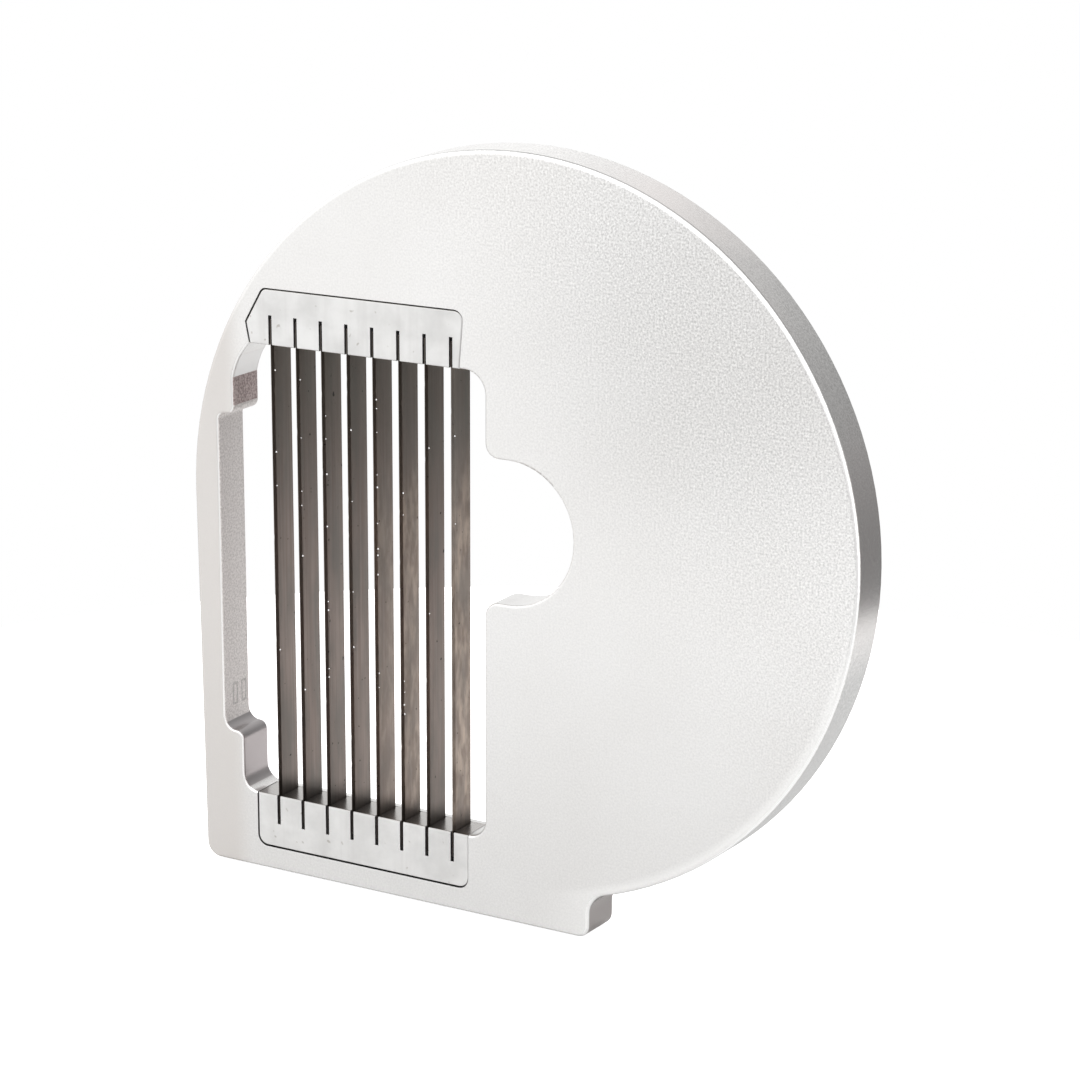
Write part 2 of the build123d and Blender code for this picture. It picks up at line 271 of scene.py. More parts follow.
def mix_value(tree, factor, first, second):
    """The first value at factor 0, the second at 1."""
    made = add_node(tree, "ShaderNodeMix", data_type="FLOAT")
    set_input(tree, made.inputs[0], factor)
    set_input(tree, made.inputs[2], first)
    set_input(tree, made.inputs[3], second)
    return made.outputs[0]


def noise(tree, vector, per_metre, detail=2.0, roughness=0.5):
    """Fractal noise from 0 to 1."""
    made = add_node(
        tree,
        "ShaderNodeTexNoise",
        {"Vector": vector, "Scale": per_metre, "Detail": detail, "Roughness": roughness},
    )
    return made.outputs["Fac"]


def stretched(tree, vector, scale):
    """The coordinates scaled per axis, for grain that runs one way."""
    return add_node(tree, "ShaderNodeMapping", {"Vector": vector, "Scale": scale}).outputs["Vector"]


def bump(tree, height, distance, normal=None):
    """Normals raised by the height times the distance."""
    inputs = {"Height": height, "Distance": distance}
    if normal is not None:
        inputs["Normal"] = normal
    return add_node(tree, "ShaderNodeBump", inputs).outputs["Normal"]


def soft_edges(tree, radius):
    """Normals that round off sharp edges by the radius."""
    return add_node(tree, "ShaderNodeBevel", {"Radius": radius}, samples=4).outputs["Normal"]


def split(tree, vector):
    """The three parts of a vector."""
    parts = add_node(tree, "ShaderNodeSeparateXYZ", {0: vector}).outputs
    return parts[0], parts[1], parts[2]


def grey(level):
    """An opaque grey."""
    return (level, level, level, 1.0)


def new_material(name):
    """An empty node material: its tree, its metallic shader and its coordinates and normals."""
    material = bpy.data.materials.new(name)
    material.use_nodes = True
    tree = material.node_tree
    tree.nodes.clear()
    shader = add_node(tree, "ShaderNodeBsdfPrincipled", {"Metallic": 1.0})
    output = add_node(tree, "ShaderNodeOutputMaterial")
    tree.links.new(shader.outputs["BSDF"], output.inputs["Surface"])
    texture = add_node(tree, "ShaderNodeTexCoord")
    return material, tree, shader, texture.outputs["Object"], texture.outputs["Normal"]


# ------------------------------------------------------------------- materials


def distance_from(tree, x, z, centre_x, centre_z):
    """Distance in the front view from a centre."""
    across = maths(tree, "SUBTRACT", x, centre_x)
    up = maths(tree, "SUBTRACT", z, centre_z)
    return maths(tree, "SQRT", maths(tree, "ADD", times(tree, across, across), times(tree, up, up)))


def moulded_marks(tree, y, z):
    """Outlines of the two narrow marks left by the mould on the long wall."""
    total = 0.0
    inset = 2 * MARK_LINE
    tall = band(tree, z, MARK_LOW_Z, MARK_HIGH_Z, MARK_LINE)
    tall_inside = band(tree, z, MARK_LOW_Z + inset, MARK_HIGH_Z - inset, MARK_LINE)
    for middle in MARK_YS:
        low, high = middle - MARK_WIDTH / 2, middle + MARK_WIDTH / 2
        outside = times(tree, band(tree, y, low, high, MARK_LINE), tall)
        inside = times(tree, band(tree, y, low + inset, high - inset, MARK_LINE), tall_inside)
        total = maths(tree, "ADD", total, times(tree, outside, invert(tree, inside)))
    return total


def wall_regions(tree, place, normal):
    """Masks for the left walls of the window: coarse above, milled in both corners, sandy between."""
    x, y, z = split(tree, place)
    normal_x, normal_y, normal_z = split(tree, normal)
    steep = ramp(tree, maths(tree, "ABSOLUTE", normal_y), 0.55, 0.75, 1.0, 0.0)
    inner = times(tree, ramp(tree, x, INNER_WALL_X, INNER_WALL_X - 0.5 * MM), steep)
    inner = times(tree, inner, ramp(tree, normal_x, -0.1, 0.05))
    inner = times(tree, inner, ramp(tree, z, BELOW_WINDOW_Z, BELOW_WINDOW_Z + 1 * MM))
    coarse = band(tree, z, UPPER_WALL_LOW_Z, UPPER_WALL_HIGH_Z, 0.05 * MM)
    milled_top = ramp(tree, z, UPPER_WALL_HIGH_Z, UPPER_WALL_HIGH_Z + 0.1 * MM)
    milled_low = ramp(tree, z, LOWER_WALL_Z - 0.3 * MM, LOWER_WALL_Z, 1.0, 0.0)
    return {
        "inner": inner,
        "coarse": times(tree, inner, coarse),
        "milled_top": times(tree, inner, milled_top),
        "milled_low": times(tree, inner, milled_low),
        "marks": times(tree, inner, moulded_marks(tree, y, z)),
        # upward faces, painted darker as shade in the lower milled corner
        "upward": ramp(tree, normal_z, 0.1, 0.6),
    }


def rim_regions(tree, place, normal, inner):
    """Masks for the disc's rim: its side, its rounded front edge and the painted dark reflection line behind
    that.
    """
    x, y, z = split(tree, place)
    _, normal_y, normal_z = split(tree, normal)
    tilt = maths(tree, "ABSOLUTE", normal_y)
    radius = distance_from(tree, x, z, 0.0, 0.0)
    outer = times(tree, ramp(tree, radius, RIM_SIDE_R, RIM_SIDE_R + 0.6 * MM), invert(tree, inner))
    rim = times(tree, outer, ramp(tree, radius, DISC_BACK_R + 0.2 * MM, DISC_BACK_R + 0.8 * MM, 1.0, 0.0))
    side = times(tree, rim, ramp(tree, tilt, 0.2, 0.5, 1.0, 0.0))
    # painted reflection: a dark line where the rounding meets the side, on the upper rim
    painted_dark_reflection = times(tree, ramp(tree, tilt, 0.10, 0.50, 1.0, 0.0), ramp(tree, normal_z, 0.3, 0.8))
    painted_dark_reflection = times(tree, painted_dark_reflection, ramp(tree, y, CREASE_Y - 0.2 * MM, CREASE_Y, 1.0, 0.0))
    # painted highlight: a brighter band on the rounded edge of the rim's lower right
    low_edge_highlight = times(tree, ramp(tree, radius, 98.5 * MM, 101.5 * MM), ramp(tree, x, 5 * MM, 40 * MM))
    low_edge_highlight = times(tree, low_edge_highlight, ramp(tree, z, -30 * MM, -5 * MM, 1.0, 0.0))
    low_edge_highlight = times(tree, low_edge_highlight, ramp(tree, normal_y, -0.9, -0.3, 1.0, 0.0))
    return {
        "rounding": times(tree, outer, ramp(tree, tilt, 0.93, 0.99, 1.0, 0.0)),
        "side": side,
        # painted shade on the lower part of the rim's side
        "shaded_low_side": times(tree, side, ramp(tree, z, -30 * MM, -6 * MM, 1.0, 0.0)),
        "painted_dark_reflection": times(tree, rim, painted_dark_reflection),
        "low_edge_highlight": low_edge_highlight,
    }


def face_regions(tree, place, normal):
    """Masks for the front face with its painted shade and painted edge highlights, and for the stop tab's
    painted shade.
    """
    x, _, z = split(tree, place)
    normal_x, normal_y, normal_z = split(tree, normal)
    sideways = maths(tree, "ADD", x, times(tree, z, 0.75))
    from_shade = distance_from(tree, x, z, SHADE_X, SHADE_Z)
    # the stop tab's sides are painted darker as shade
    tab = times(tree, ramp(tree, x, TAB_X, TAB_X + 1 * MM), ramp(tree, z, TAB_Z, TAB_Z + 2 * MM, 1.0, 0.0))
    # painted highlight on the rounded edges that face the light, outside the hub notch
    towards_light = ramp(tree, maths(tree, "ADD", normal_x, times(tree, normal_z, 0.5)), 0.0, 0.2)
    painted_edge_highlight = times(tree, band(tree, normal_y, -0.93, -0.45, 0.05), towards_light)
    beyond_notch = ramp(tree, distance_from(tree, x, z, 0.0, 0.0), NOTCH_EDGE_R, NOTCH_EDGE_R + 10 * MM)
    return {
        "front": ramp(tree, normal_y, -0.2, 0.2, 1.0, 0.35),
        # painted shade on the strip left of the window
        "left": ramp(tree, x, LEFT_STRIP_X - 8 * MM, LEFT_STRIP_X, 1.0, 0.0),
        # painted shade: the face darkens towards the bottom
        "low": ramp(tree, z, -105 * MM, 15 * MM, 1.0, 0.0),
        # painted shade on the front face round SHADE_X, SHADE_Z
        "dull_and_shaded": ramp(tree, from_shade, 15 * MM, SHADE_R, 1.0, 0.0),
        # the grain is real; its colour contrast grows towards the upper right as painted sheen
        "grainy_and_lit": ramp(tree, sideways, 5 * MM, 112 * MM),
        "painted_edge_highlight": times(tree, painted_edge_highlight, beyond_notch),
        "tab": times(tree, tab, ramp(tree, maths(tree, "ABSOLUTE", normal_y), 0.2, 0.5, 1.0, 0.0)),
    }


def plate_regions(tree, place, normal):
    """Masks for all the differently finished surfaces of the plate."""
    walls = wall_regions(tree, place, normal)
    rim = rim_regions(tree, place, normal, walls["inner"])
    return {**walls, **rim, **face_regions(tree, place, normal)}


def plate_colour(tree, area, grain):
    """Colour of the plate's faces and rim, with painted shade and painted highlights."""
    cloud = ramp(tree, grain["tone"], 0.35, 0.65)
    colour = mix_colour(tree, cloud, CAST["dull_and_shaded"], CAST["clean"])
    colour = mix_colour(tree, ramp(tree, grain["blotch"], 0.55, 0.85, 0, 0.35), colour, CAST["blotch"])
    contrast = ramp(tree, grain["fine"], 0.25, 0.75, -1.0, 1.0, smooth=False)
    # stronger grain contrast towards the upper right is painted sheen
    contrast = times(tree, contrast, area["front"], mix_value(tree, area["grainy_and_lit"], 0.07, 0.34))
    # painted shade: the face is darker round the shaded middle, towards the bottom and on the rim's lower
    # side
    level = mix_value(tree, area["dull_and_shaded"], 0.96, 0.84)
    level = times(tree, level, mix_value(tree, area["low"], 1.0, 0.91))
    level = times(tree, level, mix_value(tree, area["shaded_low_side"], 1.0, 0.70))
    colour = brightened(tree, colour, maths(tree, "ADD", contrast, level))
    # painted shade on the face's strip left of the window
    colour = mix_colour(tree, times(tree, area["left"], 0.8), colour, CAST["left"])
    # painted highlights on the rounded edges and on the rim's lower right edge
    bright = maths(tree, "MAXIMUM", times(tree, area["painted_edge_highlight"], 0.85), times(tree, area["low_edge_highlight"], 0.5))
    colour = mix_colour(tree, bright, colour, CAST["painted_edge_highlight"])
    warm = times(tree, area["side"], cloud, 0.7, invert(tree, area["shaded_low_side"]))
    colour = mix_colour(tree, warm, colour, CAST["side"])
    colour = mix_colour(tree, times(tree, area["painted_dark_reflection"], 0.75), colour, CAST["painted_dark_reflection"])
    return mix_colour(tree, area["tab"], colour, CAST["tab"])


def wall_colour(tree, area, grain, colour):
    """The plate's colour with the window's left walls over it."""
    sandy = mix_colour(tree, ramp(tree, grain["sand"], 0.35, 0.65), CAST["sand_dark"], CAST["sand_light"])
    mottle = ramp(tree, grain["coarse"], 0.38, 0.62)
    coarse = mix_colour(tree, mottle, CAST["coarse_dark"], CAST["coarse_light"])
    # painted shade: upward faces of the milled corner are darker
    stepped = mix_colour(tree, area["upward"], CAST["milled_wall"], CAST["milled_step_shaded"])
    colour = mix_colour(tree, area["inner"], colour, sandy)
    colour = mix_colour(tree, area["coarse"], colour, coarse)
    colour = mix_colour(tree, area["milled_top"], colour, CAST["milled_top"])
    colour = mix_colour(tree, area["milled_low"], colour, stepped)
    return brightened(tree, colour, mix_value(tree, area["marks"], 1.0, 0.76))


def plate_roughness(tree, area, grain, milled):
    """Satin faces, rougher inner walls, smoother rim and milled corners."""
    rough = mix_value(tree, area["inner"], ramp(tree, grain["blotch"], 0.3, 0.7, 0.37, 0.43), 0.60)
    rough = mix_value(tree, maths(tree, "MAXIMUM", area["side"], area["rounding"]), rough, 0.25)
    return mix_value(tree, milled, rough, 0.36)


def plate_surface(tree, area, grain, milled):
    """Blasted grain everywhere but on the milled corners, sand on the walls, and the marks."""
    depth = mix_value(tree, area["grainy_and_lit"], 0.025 * MM, 0.070 * MM)
    depth = mix_value(tree, area["side"], depth, 0.026 * MM)
    depth = mix_value(tree, milled, depth, 0.003 * MM)
    surface = bump(tree, grain["fine"], depth, soft_edges(tree, 0.25 * MM))
    sand_depth = times(tree, area["inner"], invert(tree, milled), 0.055 * MM)
    surface = bump(tree, grain["sand"], sand_depth, surface)
    surface = bump(tree, grain["coarse"], times(tree, area["coarse"], 0.09 * MM), surface)
    return bump(tree, area["marks"], 0.12 * MM, surface)


def cast_aluminium():
    """Shot-blasted cast aluminium: fine even grain on the faces, sandier on the inner walls."""
    material, tree, shader, place, normal = new_material("cast_aluminium_blasted")
    area = plate_regions(tree, place, normal)
    grain = {
        "tone": noise(tree, place, 14, detail=3),
        "blotch": noise(tree, place, 110, detail=4, roughness=0.6),
        "fine": noise(tree, place, 1700, detail=3, roughness=0.65),
        "sand": noise(tree, place, 1600, detail=3, roughness=0.7),
        "coarse": noise(tree, place, 1500, detail=3, roughness=0.75),
    }
    milled = maths(tree, "ADD", area["milled_top"], area["milled_low"])
    colour = wall_colour(tree, area, grain, plate_colour(tree, area, grain))
    rough = plate_roughness(tree, area, grain, milled)
    surface = plate_surface(tree, area, grain, milled)
    set_inputs(tree, shader, {"Base Color": colour, "Roughness": rough, "Normal": surface})
    return material


def holder_aluminium():
    """Finer, smoother aluminium with faint stains and milling lines, and painted shade on its level faces
    and upper front edges.
    """
    material, tree, shader, place, normal = new_material("holder_aluminium_milled")
    _, normal_y, normal_z = split(tree, normal)
    level = ramp(tree, maths(tree, "ABSOLUTE", normal_z), 0.8, 0.9)
    shaded_upper_edge = times(tree, band(tree, normal_y, -0.93, -0.3, 0.05), ramp(tree, normal_z, 0.2, 0.4))
    tone = noise(tree, place, 70, detail=4, roughness=0.6)
    streak = noise(tree, stretched(tree, place, (1, 1, 0.06)), 260, detail=3)
    speck = noise(tree, place, 420, detail=1)
    colour = mix_colour(tree, ramp(tree, tone, 0.35, 0.7), HOLDER["clean"], HOLDER["dull_and_shaded"])
    colour = mix_colour(tree, ramp(tree, streak, 0.48, 0.70, 0, 0.45), colour, HOLDER["streak"])
    colour = mix_colour(tree, ramp(tree, speck, 0.70, 0.78, 0, 0.6), colour, HOLDER["stain"])
    # painted shade on the level faces
    colour = mix_colour(tree, level, colour, HOLDER["level"])
    # painted shade on the upper front edges
    colour = mix_colour(tree, times(tree, shaded_upper_edge, 0.85), colour, HOLDER["edge"])
    lines = noise(tree, stretched(tree, place, (1, 0.03, 1)), 2600, detail=2)
    grain = noise(tree, place, 2200, detail=2)
    surface = bump(tree, grain, 0.006 * MM, soft_edges(tree, 0.15 * MM))
    surface = bump(tree, lines, times(tree, level, 0.02 * MM), surface)
    rough = mix_value(tree, level, ramp(tree, tone, 0.3, 0.7, 0.33, 0.42), 0.26)
    set_inputs(tree, shader, {"Base Color": colour, "Roughness": rough, "Normal": surface})
    return material


def tarnish_by_blade(tree, x):
    """How far each blade has browned, from the position across the row."""
    total = 0.0
    for number, amount in TARNISH.items():
        low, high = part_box(f"blade_{number}")
        middle = (low.x + high.x) / 2
        here = band(tree, x, middle - BLADE_T, middle + BLADE_T, 0.1 * MM)
        total = maths(tree, "ADD", total, times(tree, here, amount))
    return total


def beyond_blade_side(tree, x):
    """1 on the burrs, which stand proud of the blades' sides."""
    low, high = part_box("blade_1")
    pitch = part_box("blade_2")[0].x - low.x
    offset = maths(tree, "SUBTRACT", x, (low.x + high.x - pitch) / 2)
    across = maths(tree, "SUBTRACT", maths(tree, "MODULO", offset, pitch), pitch / 2)
    return ramp(tree, maths(tree, "ABSOLUTE", across), BLADE_T / 2 + 0.01 * MM, BLADE_T / 2 + 0.03 * MM)


def rolled_colour(tree, place, streak, tone):
    """Dark rolled strip, cooler in patches, with painted shade darkening it towards the top."""
    _, _, z = split(tree, place)
    colour = mix_colour(tree, ramp(tree, streak, 0.3, 0.7), BLADE["dark"], BLADE["light"])
    colour = mix_colour(tree, ramp(tree, tone, 0.35, 0.7, 0, 0.8), colour, BLADE["cool"])
    # painted shade: darker towards the top
    return mix_colour(tree, ramp(tree, z, -10 * MM, 45 * MM, 0, 0.5), colour, BLADE["top"])


def tarnished(tree, place, mottle, colour):
    """The colour with brown tarnish on the lower part of some blades, and pits on all."""
    x, _, z = split(tree, place)
    patch = noise(tree, stretched(tree, place, (1, 1, 0.30)), 190, detail=4, roughness=0.6)
    tan = mix_colour(tree, ramp(tree, mottle, 0.35, 0.65), BLADE["tan_dark"], BLADE["tan_light"])
    brown = times(tree, ramp(tree, patch, 0.36, 0.62, 0.25, 1.0), ramp(tree, z, 0.0, 25 * MM, 1.0, 0.0))
    colour = mix_colour(tree, times(tree, brown, tarnish_by_blade(tree, x)), colour, tan)
    pits = noise(tree, place, 620, detail=1)
    return mix_colour(tree, ramp(tree, pits, 0.73, 0.79, 0, 0.85), colour, BLADE["pit"])


def blade_steel():
    """Rolled and tarnished strip with a ground edge painted dark as shade, burrs painted bright as glints,
    and painted shade at its foot.
    """
    material, tree, shader, place, _ = new_material("blade_steel_rolled")
    x, y, z = split(tree, place)
    streak = noise(tree, stretched(tree, place, (1, 1, 0.02)), 1100, detail=3, roughness=0.5)
    tone = noise(tree, stretched(tree, place, (1, 1, 0.25)), 150, detail=4, roughness=0.6)
    mottle = noise(tree, stretched(tree, place, (1, 1, 0.35)), 420, detail=3, roughness=0.55)
    colour = tarnished(tree, place, mottle, rolled_colour(tree, place, streak, tone))
    # painted shade at the blades' foot, above the lower holder
    colour = brightened(tree, colour, ramp(tree, z, EXPOSED_LOW_Z, EXPOSED_LOW_Z + 7 * MM, 0.3, 1.0))
    front_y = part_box("blade_1")[0].y
    # the ground edge is smoother and painted dark as shade
    ground = band(tree, y, front_y - 1 * MM, front_y + BEVEL_WIDTH - 0.1 * MM, 0.03 * MM)
    colour = mix_colour(tree, times(tree, ground, 0.4), colour, BLADE["ground"])
    burr = beyond_blade_side(tree, x)
    # the burrs are bare steel, painted up to white as glints
    colour = mix_colour(tree, burr, colour, grey(1.0))
    surface = bump(tree, streak, 0.004 * MM)
    surface = bump(tree, mottle, 0.003 * MM, surface)
    rough = mix_value(tree, ground, ramp(tree, tone, 0.3, 0.7, 0.40, 0.50), 0.28)
    rough = mix_value(tree, burr, rough, 0.2)
    set_inputs(tree, shader, {"Base Color": colour, "Roughness": rough, "Normal": surface})
    return material


def stainless_steel():
    """Turned stainless steel."""
    material, tree, shader, place, _ = new_material("stainless_turned")
    tone = noise(tree, place, 500, detail=3)
    colour = mix_colour(tree, ramp(tree, tone, 0.3, 0.7), (0.60, 0.59, 0.58, 1), (0.68, 0.67, 0.66, 1))
    surface = bump(tree, noise(tree, place, 2500, detail=2), 0.003 * MM, soft_edges(tree, 0.08 * MM))
    rough = ramp(tree, tone, 0.3, 0.7, 0.22, 0.32)
    set_inputs(tree, shader, {"Base Color": colour, "Roughness": rough, "Normal": surface})
    return material


def pale_floor():
    """Near-white floor that is see-through from below and for light that has already passed through it."""
    material, tree, shader, place, _ = new_material("floor_pale")
    tree.nodes.remove(shader)
    mottled = noise(tree, place, 30, detail=2)
    paint = mix_colour(tree, mottled, grey(0.76), grey(0.78))
    diffuse = add_node(tree, "ShaderNodeBsdfDiffuse", {"Color": paint})
    path = add_node(tree, "ShaderNodeLightPath").outputs
    strength = times(tree, path["Is Camera Ray"], FLOOR_GLOW_IN_VIEW)
    glow = add_node(tree, "ShaderNodeEmission", {"Color": grey(1.0), "Strength": strength})
    lit = add_node(tree, "ShaderNodeAddShader", {0: diffuse.outputs[0], 1: glow.outputs[0]})
    clear = add_node(tree, "ShaderNodeBsdfTransparent")
    below = add_node(tree, "ShaderNodeNewGeometry").outputs["Backfacing"]
    passed = maths(tree, "MINIMUM", maths(tree, "ADD", below, path["Transparent Depth"]), 1.0)
    mixed = add_node(tree, "ShaderNodeMixShader", {0: passed, 1: lit.outputs[0], 2: clear.outputs[0]})
    tree.links.new(mixed.outputs[0], tree.nodes["Material Output"].inputs["Surface"])
    return material


# ---------------------------------------------------------------------- pieces


def assign(node_name, material):
    """Puts the material in every slot of a CAD node."""
    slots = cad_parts[node_name].data.materials
    for index in range(len(slots)):
        slots[index] = material


def add_piece(name, shape, material, body, node_name):
    """Makes an object of the bmesh, which stands for a CAD node and rides on its body."""
    mesh = bpy.data.meshes.new(name)
    shape.to_mesh(mesh)
    shape.free()
    stale = mesh.attributes.get("custom_normal")
    if stale is not None:
        mesh.attributes.remove(stale)
    mesh.materials.clear()
    mesh.materials.append(material)
    piece = bpy.data.objects.new(name, mesh)
    bpy.context.scene.collection.objects.link(piece)
    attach(piece, body)
    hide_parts(node_name)
    return piece


def keep_sharp(piece, angle_deg):
    """Smooth shading that keeps the edges sharper than the angle."""
    piece.data.shade_smooth()
    piece.data.set_sharp_from_angle(angle=math.radians(angle_deg))


def slice_across(shape, low_z, high_z, step):
    """Cuts the bmesh across Z at even steps, so that its long edges can waver."""
    count = round((high_z - low_z) / step)
    for index in range(count + 1):
        z = low_z + (high_z - low_z) * index / count
        everything = shape.verts[:] + shape.edges[:] + shape.faces[:]
        bmesh.ops.bisect_plane(shape, geom=everything, dist=1e-7, plane_co=(0, 0, z), plane_no=(0, 0, 1))


def waver(shape, low, high, chance):
    """Moves the grinding line in and out and nicks the cutting edge, over the exposed length."""
    middle_x = (low.x + high.x) / 2
    moves = {}
    for vert in shape.verts:
        if not EXPOSED_LOW_Z + 1 * MM < vert.co.z < EXPOSED_HIGH_Z - 1 * MM:
            continue
        if abs(vert.co.y - low.y - BEVEL_WIDTH) < SAME_PLACE:
            key = (round(vert.co.z, 6), vert.co.x > middle_x)
            moves.setdefault(key, chance.uniform(-0.10, 0.06) * MM)
        elif abs(vert.co.y - low.y) < SAME_PLACE:
            key = (round(vert.co.z, 6), "edge")
            nick = NICK_DEPTH if chance.random() < NICK_SHARE else 0.0
            moves.setdefault(key, chance.uniform(0.0, 0.015) * MM + nick)
        else:
            continue
        vert.co.y += moves[key]


def add_burrs(shape, count, side_x, grind_y, chance):
    """Small beads of raised metal along the grinding line on the blade's right side."""
    for _ in range(count):
        height = chance.uniform(EXPOSED_LOW_Z * 0.65, EXPOSED_HIGH_Z * 0.85)
        spot = Vector((side_x, grind_y + chance.uniform(-0.1, 0.2) * MM, height))
        size = chance.uniform(*BURR_RADII)
        bmesh.ops.create_icosphere(shape, subdivisions=2, radius=size, matrix=Matrix.Translation(spot))


def make_blade(number, material):
    """The CAD blade with a hand-ground edge: a wavering grinding line, small nicks and burrs."""
    name = f"blade_{number}"
    low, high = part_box(name)
    chance = random.Random(number)
    shape = bmesh.new()
    shape.from_mesh(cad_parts[name].data)
    bmesh.ops.remove_doubles(shape, verts=shape.verts[:], dist=1e-6)
    slice_across(shape, EXPOSED_LOW_Z, EXPOSED_HIGH_Z, BLADE_SLICE)
    waver(shape, low, high, chance)
    add_burrs(shape, BURRS[number - 1], high.x, low.y + BEVEL_WIDTH, chance)
    add_piece(f"{name}_ground", shape, material, "plate", name)


def screw_angles():
    """Angles of the corners round a screw."""
    return [2 * math.pi * side / SCREW_SIDES for side in range(SCREW_SIDES)]


def hex_radius(angle):
    """Distance from the centre of the hex socket to its side at the angle."""
    return HEX_KEY / 2 / math.cos((angle % (math.pi / 3)) - math.pi / 6)


def thread_radius(height, angle):
    """Radius of a right-hand metric thread at a height up the screw."""
    phase = (height / THREAD_PITCH - angle / (2 * math.pi)) % 1.0
    slope = (abs(2 * phase - 1) - 0.125) / 0.625
    return THREAD_R - THREAD_HEIGHT * min(max(slope, 0.0), 1.0)


def flat_ring(height, radius):
    """A round ring at a height."""
    return (height, [radius] * SCREW_SIDES)


def socket_rings():
    """Rings of the hex socket, from its floor up to its chamfered mouth, as heights and radii."""
    hexagon = [hex_radius(angle) for angle in screw_angles()]
    mouth = [max(radius, HEX_KEY * 0.56) for radius in hexagon]
    return [
        flat_ring(HEX_DEPTH + 0.35 * MM, 0.1 * MM),
        (HEX_DEPTH, [radius * 0.93 for radius in hexagon]),
        (HEX_DEPTH - 0.1 * MM, hexagon),
        (0.15 * MM, hexagon),
        (0.0, mouth),
    ]


def thread_rings(low, high):
    """Rings of the threaded shank, tapered at the tip."""
    rings = []
    count = round((high - low) / THREAD_PITCH * STEPS_PER_TURN)
    for index in range(count + 1):
        height = low + (high - low) * index / count
        limit = THREAD_R - max(0.0, 0.5 * MM - (high - height))
        rings.append((height, [min(thread_radius(height, angle), limit) for angle in screw_angles()]))
    return rings


def ring_solid(rings, place):
    """A closed solid lofted through the rings, moved into place."""
    shape = bmesh.new()
    loops = []
    for height, radii in rings:
        loop = []
        for angle, radius in zip(screw_angles(), radii):
            corner = Vector((radius * math.cos(angle), radius * math.sin(angle), height))
            loop.append(shape.verts.new(place @ corner))
        loops.append(loop)
    for lower, upper in zip(loops, loops[1:]):
        for side in range(SCREW_SIDES):
            after = (side + 1) % SCREW_SIDES
            shape.faces.new((lower[side], lower[after], upper[after], upper[side]))
    shape.faces.new(loops[0])
    shape.faces.new(loops[-1])
    bmesh.ops.recalc_face_normals(shape, faces=shape.faces[:])
    return shape


def make_tension_screw(side, material):
    """Low-head cap screw with its socket facing down."""
    name = f"tension_screw_{side}"
    low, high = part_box(name)
    rings = socket_rings() + [
        flat_ring(0.0, CAP_HEAD_R - CAP_EDGE_R),
        flat_ring(0.3 * CAP_EDGE_R, CAP_HEAD_R - 0.3 * CAP_EDGE_R),
        flat_ring(CAP_EDGE_R, CAP_HEAD_R),
        flat_ring(CAP_HEAD_H - 0.1 * MM, CAP_HEAD_R),
        flat_ring(CAP_HEAD_H, CAP_HEAD_R - 0.1 * MM),
        flat_ring(CAP_HEAD_H, THREAD_R + 0.05 * MM),
        flat_ring(CAP_HEAD_H + 0.4 * MM, THREAD_R - THREAD_HEIGHT / 2),
    ]
    rings += thread_rings(CAP_HEAD_H + 0.5 * MM, high.z - low.z)
    place = Matrix.Translation(((low.x + high.x) / 2, (low.y + high.y) / 2, low.z))
    shape = ring_solid(rings, place)
    piece = add_piece(f"{name}_threaded", shape, material, name, name)
    keep_sharp(piece, SHARP_ANGLE_DEG)


def make_holder_screw(side, material):
    """Countersunk screw with its socket facing the back."""
    name = f"upper_holder_screw_{side}"
    low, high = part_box(name)
    cone_end = CSK_RIM + CSK_HEAD_R - THREAD_R
    rings = socket_rings() + [
        flat_ring(0.0, CSK_HEAD_R - 0.08 * MM),
        flat_ring(0.08 * MM, CSK_HEAD_R),
        flat_ring(CSK_RIM, CSK_HEAD_R),
        flat_ring(cone_end, THREAD_R),
        flat_ring(cone_end + 0.3 * MM, THREAD_R - THREAD_HEIGHT / 2),
    ]
    rings += thread_rings(cone_end + 0.4 * MM, high.y - low.y)
    head = Vector(((low.x + high.x) / 2, high.y, (low.z + high.z) / 2))
    place = Matrix.Translation(head) @ Matrix.Rotation(math.radians(90), 4, "X")
    shape = ring_solid(rings, place)
    piece = add_piece(f"{name}_threaded", shape, material, "plate", name)
    keep_sharp(piece, SHARP_ANGLE_DEG)


# ---------------------------------------------------------------------- studio


def direction_to(azimuth_deg, elevation_deg):
    """Unit vector at an azimuth from the back (+Y) towards +X, and an elevation."""
    azimuth, elevation = math.radians(azimuth_deg), math.radians(elevation_deg)
    flat = math.cos(elevation)
    return Vector((math.sin(azimuth) * flat, math.cos(azimuth) * flat, math.sin(elevation)))


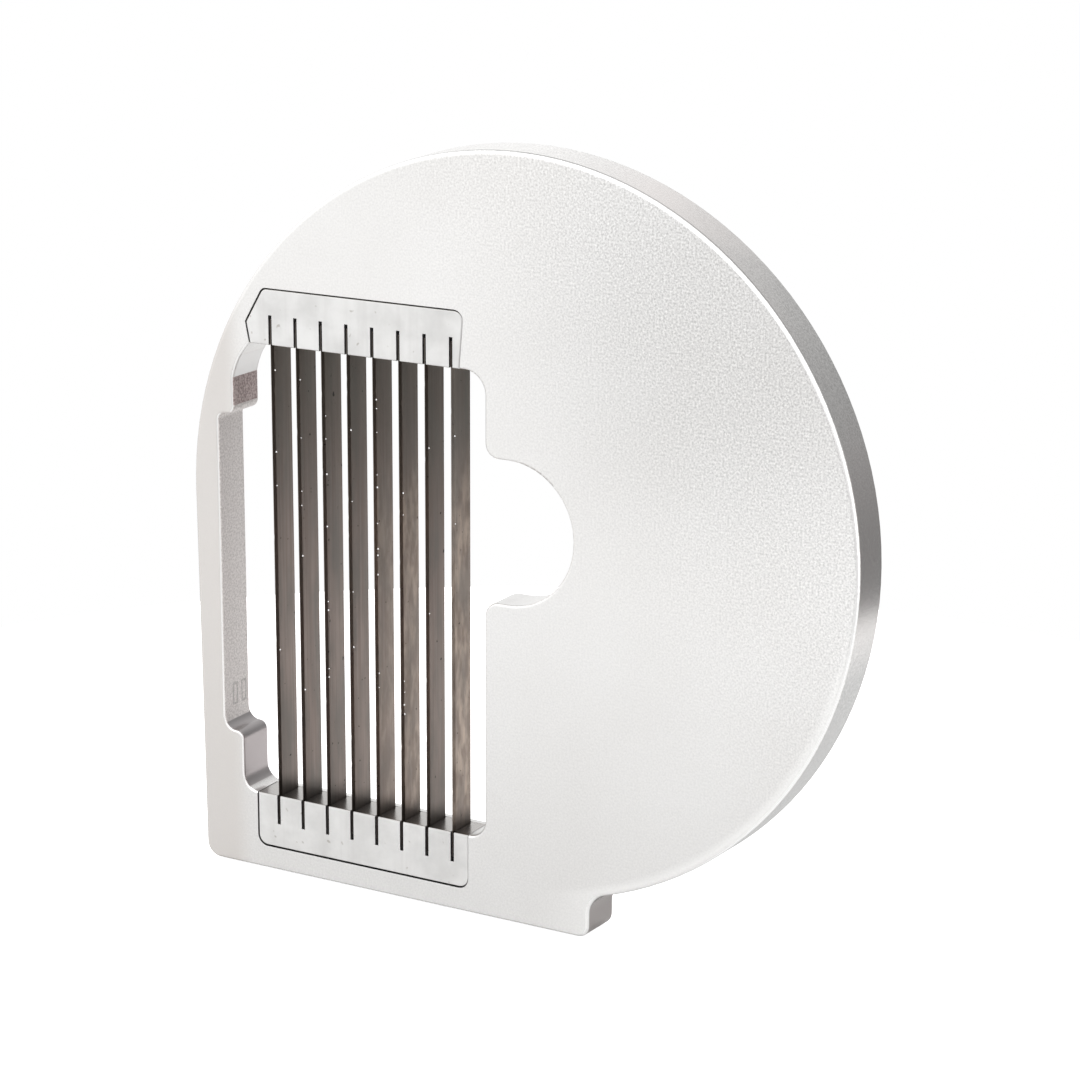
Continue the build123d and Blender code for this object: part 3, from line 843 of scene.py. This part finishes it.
def make_world():
    """Soft studio light as a sum of round lobes; the backdrop itself is plain white."""
    world = bpy.data.worlds.new("studio")
    bpy.context.scene.world = world
    world.use_nodes = True
    tree = world.node_tree
    tree.nodes.clear()
    direction = add_node(tree, "ShaderNodeTexCoord").outputs["Generated"]
    total = LIGHT_BASE
    for azimuth, elevation, strength, tightness in LIGHT_LOBES:
        centre = direction_to(azimuth, elevation)
        facing = add_node(tree, "ShaderNodeVectorMath", {0: direction, 1: centre}, operation="DOT_PRODUCT")
        away = maths(tree, "SUBTRACT", facing.outputs["Value"], 1.0)
        lobe = maths(tree, "EXPONENT", times(tree, away, tightness))
        total = maths(tree, "ADD", times(tree, lobe, strength), total)
    total = maths(tree, "MAXIMUM", total, 0.0)
    light = add_node(tree, "ShaderNodeBackground", {"Color": grey(1.0), "Strength": total})
    backdrop = add_node(tree, "ShaderNodeBackground", {"Color": grey(1.0), "Strength": 1.0})
    in_view = add_node(tree, "ShaderNodeLightPath").outputs["Is Camera Ray"]
    mixed = add_node(tree, "ShaderNodeMixShader", {0: in_view, 1: light.outputs[0], 2: backdrop.outputs[0]})
    output = add_node(tree, "ShaderNodeOutputWorld")
    tree.links.new(mixed.outputs[0], output.inputs["Surface"])


def make_floor():
    """Round floor under the foot of the plate."""
    mesh = bpy.data.meshes.new("floor")
    shape = bmesh.new()
    bmesh.ops.create_circle(shape, cap_ends=True, segments=FLOOR_SIDES, radius=FLOOR_RADIUS)
    shape.to_mesh(mesh)
    shape.free()
    floor = bpy.data.objects.new("floor", mesh)
    bpy.context.scene.collection.objects.link(floor)
    floor.location = (0, 0, cad_low.z)
    floor.data.materials.append(pale_floor())


def make_camera():
    """Camera at the viewing angle, with the hub axis at its place in the view."""
    back = direction_to(180 - VIEW_AZIMUTH_DEG, VIEW_ELEVATION_DEG)
    right = Vector((0, 0, 1)).cross(back).normalized()
    up = back.cross(right)
    roll = Matrix.Rotation(math.radians(VIEW_ROLL_DEG), 3, back)
    right, up = roll @ right, roll @ up
    camera = bpy.data.objects.new("camera", bpy.data.cameras.new("camera"))
    bpy.context.scene.collection.objects.link(camera)
    camera.data.lens = LENS_MM
    camera.data.sensor_width = 36
    axes = Matrix((right, up, back)).transposed()
    spot = back * HUB_DISTANCE - right * HUB_RIGHT - up * HUB_UP
    camera.matrix_world = Matrix.Translation(spot) @ axes.to_4x4()
    bpy.context.scene.camera = camera


cast = cast_aluminium()
milled = holder_aluminium()
blade = blade_steel()
stainless = stainless_steel()
assign("plate_body", cast)
assign("upper_blade_holder", milled)
assign("lower_blade_holder", milled)
for node_name in ("upper_blade_pin", "lower_blade_pin", "tension_washer_left", "tension_washer_right"):
    assign(node_name, stainless)
for number in range(1, BLADE_COUNT + 1):
    make_blade(number, blade)
for side in ("left", "right"):
    make_tension_screw(side, stainless)
    make_holder_screw(side, stainless)

make_world()
make_floor()
make_camera()
bpy.context.scene.view_settings.view_transform = "Standard"
